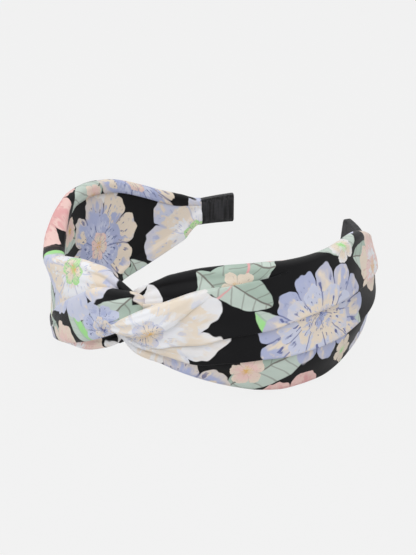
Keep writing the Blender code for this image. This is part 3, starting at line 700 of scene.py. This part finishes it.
def strip_section(label, distance):
    """Heights, offsets and flat widths across the strip, from its upper lip to its lower one."""
    top, low = strip_edges(label, distance)
    end = cloth_end(label)
    width = top - low
    near_tip = smooth_step(distance, end - TIP_TAPER, end)
    slim = 1 - TIP_SLIMMING * near_tip
    into_knot = 1 - smooth_step(distance, *KNOT_EXIT)
    # Tucks, rises and rounded edges get smaller where the strip is narrow
    tuck = PLEAT_TUCK * np.clip(width / 0.040, 0.12, 1)
    rise = PLEAT_HEIGHT * np.clip((width - 0.012) / 0.020, 0.15, 1)
    if label == "left":
        rise = rise * (1 - 0.5 * smooth_step(distance, *LEFT_CALMS))
    round_off = EDGE_ROUND * np.clip(width / 0.026, 0.55, 1)
    lines = []
    for way, table in PLEATS[label]:
        line = through(table, distance * 1000) / 1000
        room = np.minimum(top - line, line - low) - round_off
        fold = smooth_step(room, 0.0006, 0.0042)
        line = np.clip(line, low + round_off + PLEAT_MARGIN, top - round_off - PLEAT_MARGIN)
        opened = smooth_step(distance, *TUCKS_DEEPEN) if way == "over" else 1.0
        lines.append((way, line, rise * fold, tuck * fold ** 2 * opened))
    gather = KNOT_GATHER[0] * np.exp(-np.clip(distance, 0, 1) / KNOT_GATHER[1])
    gather = gather + TIP_GATHER[0] * np.exp((distance - end) / TIP_GATHER[1])
    rolled = ROLLED_EDGE[label] * smooth_step(distance, *ROLL_STARTS)
    rolled = rolled * (1 - smooth_step(distance, *ROLL_ENDS))

    def face(height):
        """Offset of the outer face: over the foam, with gathers, unevenness, the roll and the pleats."""
        level = foam_face(label, np.clip(distance, 0.004, None), height) + CLOTH_RISE
        across = (top - height) / width
        wander = FOLD_WANDER * np.sin(distance / WANDER_LENGTH)
        folds = np.abs(np.sin(math.pi * (BROAD_FOLDS * across + 0.3 + wander)))
        folds = folds + 0.6 * np.abs(np.sin(math.pi * (FINE_FOLDS * across + 0.6 - wander)))
        level = level + gather * (folds - 0.9)
        level = level + 0.0003 * np.sin(distance / 0.013 + height / 0.009)
        level = level + 0.0002 * np.sin(distance / 0.0071 - height / 0.012 + 1.0)
        level = level + rolled * np.exp(-((top - height - 0.003) / 0.005) ** 2)
        for way, line, lift, deep in lines:
            below = (line - height) if way == "under" else (height - line)
            level = level + lift * np.where(below > -1e-9, np.exp(-below / PLEAT_SPREAD), 0.0)
        tilt = KNOT_TILT[label] * (2 * height - top - low) / width
        return FOAM_BACK + (level - FOAM_BACK) * slim + into_knot * (tilt + KNOT_LIFT)

    lip = LIP_FACE + LIP_TIP_RISE * near_tip
    lip = lip + (face((top + low) / 2) - 0.0035 - lip) * into_knot
    lip_depth = np.minimum(LIP_DEPTH, 0.22 * width)
    points = []

    def edge(at, inwards):
        """Half round over the band's edge, from the lip to the face or back."""
        shoulder = at + inwards * round_off
        outer = face(shoulder)
        middle, half = (lip + outer) / 2, (outer - lip) / 2
        turn = [(shoulder - inwards * round_off * math.sin(a), middle - half * math.cos(a))
                for a in np.linspace(0, math.pi, EDGE_POINTS)]
        inner = [(at + inwards * (round_off + (lip_depth - round_off) * s), lip) for s in LIP_SHARES]
        return inner + turn

    def lay(start, stop, count):
        """Points on the face between two heights."""
        for s in np.linspace(0, 1, count + 2)[1:-1]:
            height = start + (stop - start) * s
            points.append((height, face(height)))

    points.extend(edge(top, -1.0))
    start = top - round_off
    for way, line, lift, deep in lines:
        step, into = lift * slim, -1.0 if way == "under" else 1.0

        def layer(depth, share):
            """A layer hidden in the fold, at a depth from its line and a share of its rise."""
            at = line + into * depth
            return at, face(at) + step * (share - np.exp(-depth / PLEAT_SPREAD))

        fold = [layer(depth * deep, share) for depth, share in PLEAT_LAYERS]
        fold += [(line - into * 0.08 * deep, face(line) - 0.2 * step), (line, face(line))]
        lay(start, line + 0.0002 * (way == "under"), RUN_POINTS)
        points.extend(fold if way == "under" else reversed(fold))
        start = line
    lay(start, low + round_off, LAST_RUN_POINTS)
    points.extend(reversed(edge(low, 1.0)))
    height = np.stack([h + 0 * distance for h, out in points], -1)
    out = np.stack([out + 0 * distance for h, out in points], -1)
    steps = np.hypot(np.diff(height, axis=1), np.diff(out, axis=1))
    flat = -np.concatenate((np.zeros((len(distance), 1)), np.cumsum(steps, axis=1)), axis=1)
    # The print hangs from the first point past the upper fold
    first_fold = len(LIP_SHARES) + EDGE_POINTS + RUN_POINTS + len(PLEAT_LAYERS) + 2
    flat += (height[:, first_fold] - flat[:, first_fold])[:, None]
    return height, out, flat


PRINT_AT = {"left": (0.012, 0.060), "right": (0.022, 0.028)}
STRIP_START, FINE_REACH, FINE_ROWS, ARM_ROWS, RUN_OUT_WELD = -0.0070, 0.030, 70, 140, 2e-6
for label in ("left", "right"):
    distance = np.concatenate((
        np.linspace(STRIP_START, FINE_REACH, FINE_ROWS),
        np.linspace(FINE_REACH, cloth_end(label), ARM_ROWS)[1:],
    ))
    height, out, flat = strip_section(label, distance)
    out = out + twist(label, distance)[:, None] * height
    along = SIDE[label] * distance[:, None] + 0 * height
    grid = on_hoop(along, height, out)
    uv = np.stack((along + PRINT_AT[label][0], flat + PRINT_AT[label][1]), -1)
    if label == "right":
        grid, uv = grid[:, ::-1], uv[:, ::-1]
    strip = laid_mesh(f"outer_cloth_{label}", grid, satin, uv)
    strip.modifiers.new("run_out_pleats", "WELD").merge_threshold = RUN_OUT_WELD
    give_wall(strip, CLOTH_WALL)
    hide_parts(f"upper_ply_{label}", f"lower_ply_{label}")
    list(hinge_span(label, 0.010, 0.012))
    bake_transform(strip)


# Lining
# A strip of the same printed cloth glued inside the hoop, its top edge under the turned-in edge of the
# outer cloth and its lower edge over it. It is in two lengths that meet behind the knot.

LINING_FACE, LINING_WALL, LINING_ROWS, LINING_POINTS = -0.0020, 0.0004, 260, 84
# How far the lower edge stands in over the outer cloth, and the heights above it where it steps back
LINING_LAP, LAP_STEP = 0.0014, (0.0052, 0.0075)
LINING_PRINT_AT = (0.159, 0.095)
LINING_INSET_TOP, LINING_INSET_LOW = 0.0030, 0.0010
# Behind the knot both lengths narrow, and their top leans out over the hoop to the knotted cloth
LINING_WAIST_TOP, LINING_WAIST_LOW = 0.0118, -0.0090
LINING_WAIST_REACH = {"left": 0.0065, "right": 0.015}
LINING_KNOT_INSET, INSET_GROWS = {"left": 0.0014, "right": 0.0030}, (0.006, 0.014)
LEAN_START, LINING_LEAN, LEAN_SLOPE, LEAN_FADES = 0.0085, 0.0040, 0.35, (0.009, 0.016)
# A slanting fold in the left length: distances from the knot and heights, in mm
LINING_FOLD = ((70, 30.0), (81, 23.6), (92, 16.0), (101, 9.3), (109, 2.2), (117, -6.0), (126, -15.4),
               (135, -25.2))
FOLD_HEIGHT, FOLD_STEP, FOLD_SPREAD = 0.0011, 0.0010, 0.012
FOLD_STARTS, FOLD_ENDS = (0.074, 0.084), (0.128, 0.136)
for label in ("left", "right"):
    distance = np.linspace(0.0, cloth_end(label), LINING_ROWS)
    top, low = (side[:, None] for side in strip_edges(label, distance, knotted=False))
    waist = 1 - smooth_step(distance, 0.0, LINING_WAIST_REACH[label])[:, None]
    knot_inset = LINING_KNOT_INSET[label]
    inset = knot_inset + (LINING_INSET_TOP - knot_inset) * smooth_step(distance, *INSET_GROWS)[:, None]
    top = (top - inset) * (1 - waist) + LINING_WAIST_TOP * waist
    low = (low + LINING_INSET_LOW) * (1 - waist) + LINING_WAIST_LOW * waist
    share = np.linspace(0, 1, LINING_POINTS)[None]
    height = top * (1 - share) + low * share
    lean = LINING_LEAN * smooth_step(height, LEAN_START, LINING_WAIST_TOP)
    lean = lean + LEAN_SLOPE * np.clip(height - LINING_WAIST_TOP, 0, None)
    lean = lean * (1 - smooth_step(distance, *LEAN_FADES))[:, None]
    slack = 0.0004 * np.sin(math.pi * share) + 0.0002 * np.sin(9 * share + 40 * distance[:, None])
    over_lip = LINING_LAP * (1 - smooth_step(height - low, *LAP_STEP))
    if label == "left":
        crease = (through(LINING_FOLD, distance * 1000) / 1000)[:, None]
        before_fold = smooth_step(crease - height, -FOLD_STEP, FOLD_STEP)
        before_fold = before_fold * smooth_step(distance, *FOLD_STARTS)[:, None]
        before_fold = before_fold * np.exp(-np.clip(crease - height, 0, None) / FOLD_SPREAD)
        slack = slack + FOLD_HEIGHT * before_fold * (1 - smooth_step(distance, *FOLD_ENDS))[:, None]
    out = LINING_FACE - slack - over_lip + lean + twist(label, distance)[:, None] * height
    along = SIDE[label] * distance[:, None]
    grid = on_hoop(along, height, out)
    uv = np.stack(np.broadcast_arrays(along + LINING_PRINT_AT[0], height + LINING_PRINT_AT[1]), -1)
    if label == "left":
        grid, uv = grid[:, ::-1], uv[:, ::-1]
    lining = laid_mesh(f"lining_{label}_cloth", grid, lining_cloth, uv)
    give_wall(lining, LINING_WALL)
    nodes = (f"lining_{label}", "lining_crown") if label == "left" else (f"lining_{label}",)
    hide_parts(*nodes)
    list(hinge_span(label, 0.006, 0.010))
    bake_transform(lining)


# Knot
# Each strip's middle ply rolls up into a soft loop, goes over the other strip, folds round it and comes
# back beneath. The left loop is the broad lobe on top; the right one is the slim roll across its foot.

LOOP_ROWS, LOOP_SIDES, LOOP_SQUARE = 130, 72, 0.72
LOOP_CREASE, LOOP_CREASES, CREASE_TURN, CREASE_REACH = 0.15, 9, 0.8, (0.030, 0.004)
LOOP_FOLD_TURN = 30
# In mm: along, height, offset, half width, half thickness. In degrees: turn of the face to the fold
LOOPS = {
    "left": (
        (-62, -23.0, 0.8, 4.5, 1.8, 0), (-50, -17.4, 2.2, 6.6, 2.2, 0), (-42, -13.2, 3.7, 8.2, 2.6, 0),
        (-36, -10.2, 4.4, 9.0, 2.8, 0), (-30, -7.0, 5.0, 9.6, 2.9, 0), (-23, -3.2, 5.8, 10.1, 3.2, 0),
        (-15, 1.6, 7.0, 10.5, 3.6, 0), (-8, 5.8, 8.6, 10.4, 4.0, 5), (-1, 8.4, 9.4, 8.8, 4.1, 20),
        (3.6, 8.8, 8.2, 7.2, 3.2, 60), (5.2, 6.0, 5.6, 5.6, 2.6, 100), (3.0, 1.4, 3.4, 4.4, 1.8, 150),
        (-3, -2.0, 2.2, 3.6, 1.2, 175), (-8, -4.0, 1.8, 3.2, 1.0, 180),
    ),
    "right": (
        (44, 18.6, 1.8, 1.6, 1.4, 0), (35, 17.2, 3.6, 2.2, 1.8, 0), (27, 14.6, 5.6, 3.2, 2.4, 0),
        (21, 11.2, 7.6, 4.5, 3.0, 0), (15, 7.4, 9.4, 5.8, 3.4, 0), (8, 4.2, 10.8, 5.4, 3.6, 0),
        (2, 2.2, 11.4, 4.2, 3.4, 10), (-2.2, 0.7, 10.4, 2.6, 2.7, 55), (-3.6, 0.9, 8.0, 2.4, 2.3, 100),
        (-1, 2.6, 5.5, 2.6, 1.8, 150), (4, 4.4, 4.0, 2.4, 1.4, 180), (9, 5.6, 3.0, 2.2, 1.2, 180),
    ),
}


def spline(rows, count):
    """Smooth way through rows of numbers."""
    rows = np.array(rows, float)
    padded = np.vstack((2 * rows[0] - rows[1], rows, 2 * rows[-1] - rows[-2]))
    spots = np.linspace(0, len(rows) - 1, count)
    i = np.minimum(spots.astype(int), len(rows) - 2)
    u = (spots - i)[:, None]
    a, b, c, d = (padded[i + k] for k in range(4))
    return 0.5 * (
        2 * b + (c - a) * u + (2 * a - 5 * b + 4 * c - d) * u ** 2 + (3 * b - a - 3 * c + d) * u ** 3)


def unit(vectors):
    return vectors / np.linalg.norm(vectors, axis=-1, keepdims=True)


def squared(value, power):
    """A sine or cosine pushed out from a round towards a square."""
    return np.sign(value) * np.abs(value) ** power


for label in ("left", "right"):
    way = spline(LOOPS[label], LOOP_ROWS)
    way[:, :5] /= 1000
    along, height, out, half_width, half_thickness = (way[:, i] for i in range(5))
    centre = on_hoop(along, height, out)
    outward = unit(on_hoop(along, height, out + 0.001) - centre)
    forward = unit(on_hoop(along + 0.0005, height, out) - centre) * -SIDE[label]
    tangent = unit(np.gradient(centre, axis=0))
    turn = np.radians(way[:, 5])[:, None]
    face = outward * np.cos(turn) + forward * np.sin(turn)
    wide = unit(np.cross(tangent, face))
    face = np.cross(wide, tangent)
    ring = np.linspace(0, 2 * math.pi, LOOP_SIDES, endpoint=False) - math.pi / 2
    ripple = LOOP_CREASE * np.cos(LOOP_CREASES * ring + CREASE_TURN) * (1 - np.abs(np.cos(ring)))
    creased = 1 + ripple[None] * smooth_step(SIDE[label] * along, *CREASE_REACH)[:, None]
    across = half_width[:, None] * squared(np.cos(ring), LOOP_SQUARE)
    proud = half_thickness[:, None] * squared(np.sin(ring), LOOP_SQUARE) * creased
    grid = centre[:, None] + wide[:, None] * across[..., None] + face[:, None] * proud[..., None]
    # The loop lies on the cloth's flat coordinates as the strip beside it does, so the print runs on
    steps = np.linalg.norm(np.diff(centre, axis=0), axis=1)
    heading = np.arctan2(np.gradient(height), np.gradient(along))
    folded = way[:, 5] > LOOP_FOLD_TURN
    heading[folded] = heading[~folded & (np.arange(len(way)) < folded.argmax())][-1]
    run = np.stack((np.cos(heading), np.sin(heading)), -1)
    flat = np.stack((along[:1], height[:1]), -1) + np.concatenate(
        (np.zeros((1, 2)), np.cumsum(steps[:, None] * run[:-1], axis=0)))
    girth = np.linalg.norm(np.diff(grid[:, np.r_[0:LOOP_SIDES, 0]], axis=1), axis=2)
    girth = np.concatenate((np.zeros((len(way), 1)), np.cumsum(girth, axis=1)), axis=1)
    aside = SIDE[label] * (girth[:, LOOP_SIDES // 2, None] - girth)
    upward = np.sign(run[:, :1]) * np.stack((-run[:, 1], run[:, 0]), -1)
    uv = flat[:, None] + aside[..., None] * upward[:, None] + np.array(PRINT_AT[label])
    loop = laid_mesh(f"knot_loop_{label}_cloth", grid, satin, uv, closed=True, ends=("first", "last"))
    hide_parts(f"knot_loop_{label}")
    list(hinge_span(label, 0.008, 0.012))
    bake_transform(loop)


# Tip ribbons
# Each end of the hoop sits in a thimble of black ribbed ribbon, which is folded over the tip and glued
# round it and round the end of the printed cloth.

RIB_PITCH, THREAD_PITCH = 0.0007, 0.00035
WEAR_SCALE, WEAR_STRETCH = 620.0, (1.0, 0.35, 1.0)
ribbon, tree, shader = new_material("black_ribbed_ribbon")
place = wire(tree, "ShaderNodeUVMap", uv_map="cloth").outputs[0]
parts = wire(tree, "ShaderNodeSeparateXYZ", (place,)).outputs
ribs = calc(tree, "SINE", calc(tree, "MULTIPLY", parts[0], 2 * math.pi / RIB_PITCH))
threads = calc(tree, "SINE", calc(tree, "MULTIPLY", parts[1], 2 * math.pi / THREAD_PITCH))
worn_at = vector(tree, "MULTIPLY", place, WEAR_STRETCH)
worn = noise(tree, worn_at, WEAR_SCALE, 3.0, 0.6)
cloth = calc(tree, "MULTIPLY_ADD", ribs, 0.5, calc(tree, "MULTIPLY", threads, 0.2))
shade = calc(tree, "MULTIPLY_ADD", cloth, 0.12, ease(tree, worn, 0.36, 0.66))
feed(
    tree, shader, Base_Color=tint(tree, shade, ink(9, 9, 10), ink(52, 52, 55)),
    Roughness=calc(tree, "MULTIPLY_ADD", worn, 0.2, 0.42), Sheen_Weight=0.05, Specular_IOR_Level=0.25,
    Normal=bump(tree, 0.5, 0.0003, cloth),
)
RIBBON_LENGTH, RIBBON_GIRTH, RIBBON_WALL = 0.0200, 0.0336, 0.0005
RIBBON_HALF_THICKNESS, RIBBON_SQUARE, RIBBON_ROWS, RIBBON_SIDES = 0.0020, 0.25, 36, 44
# The straight part stops short of the hoop's tip, and rounds off past it: distances, shares of the girth
RIBBON_ROUND, RIBBON_END = 0.0006, ((0.0001, 0.0005, 0.0008), (0.995, 0.97, 0.88))
# Bottom and top of each ribbon at the cloth and at the tip, in mm
RIBBON_EDGES = {"left": ((-6.7, 6.2), (-5.95, 8.3)), "right": ((-6.7, 6.7), (-6.7, 7.2))}
for label in ("left", "right"):
    reach = REACH[label]
    straight = np.linspace(reach - RIBBON_LENGTH, reach - RIBBON_ROUND, RIBBON_ROWS)
    distance = np.concatenate((straight, reach + np.array(RIBBON_END[0])))
    pinch = np.concatenate((np.ones(RIBBON_ROWS), RIBBON_END[1]))[:, None]
    ring = np.linspace(0, 2 * math.pi, RIBBON_SIDES, endpoint=False)
    span = (cloth_end(label), reach)
    low, top = (np.interp(distance, span, pair)[:, None] / 1000 for pair in zip(*RIBBON_EDGES[label]))
    height = (top + low) / 2 + (top - low) / 2 * pinch * squared(np.cos(ring), RIBBON_SQUARE)
    out = RIBBON_HALF_THICKNESS * pinch * squared(np.sin(ring), RIBBON_SQUARE)
    out = out + twist(label, distance)[:, None] * height
    grid = on_hoop(SIDE[label] * distance[:, None], height, out)
    girth = np.linspace(0, RIBBON_GIRTH, RIBBON_SIDES + 1)[None]
    uv = np.stack(np.broadcast_arrays(distance[:, None], girth), -1)
    if label == "right":
        grid, uv = grid[:, ::-1], uv[:, ::-1]
    thimble = laid_mesh(f"tip_ribbon_{label}", grid, ribbon, uv, closed=True, ends=("last",))
    give_wall(thimble, RIBBON_WALL)
    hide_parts(f"tip_wrap_{label}")
    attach(thimble, f"{label}_arm")
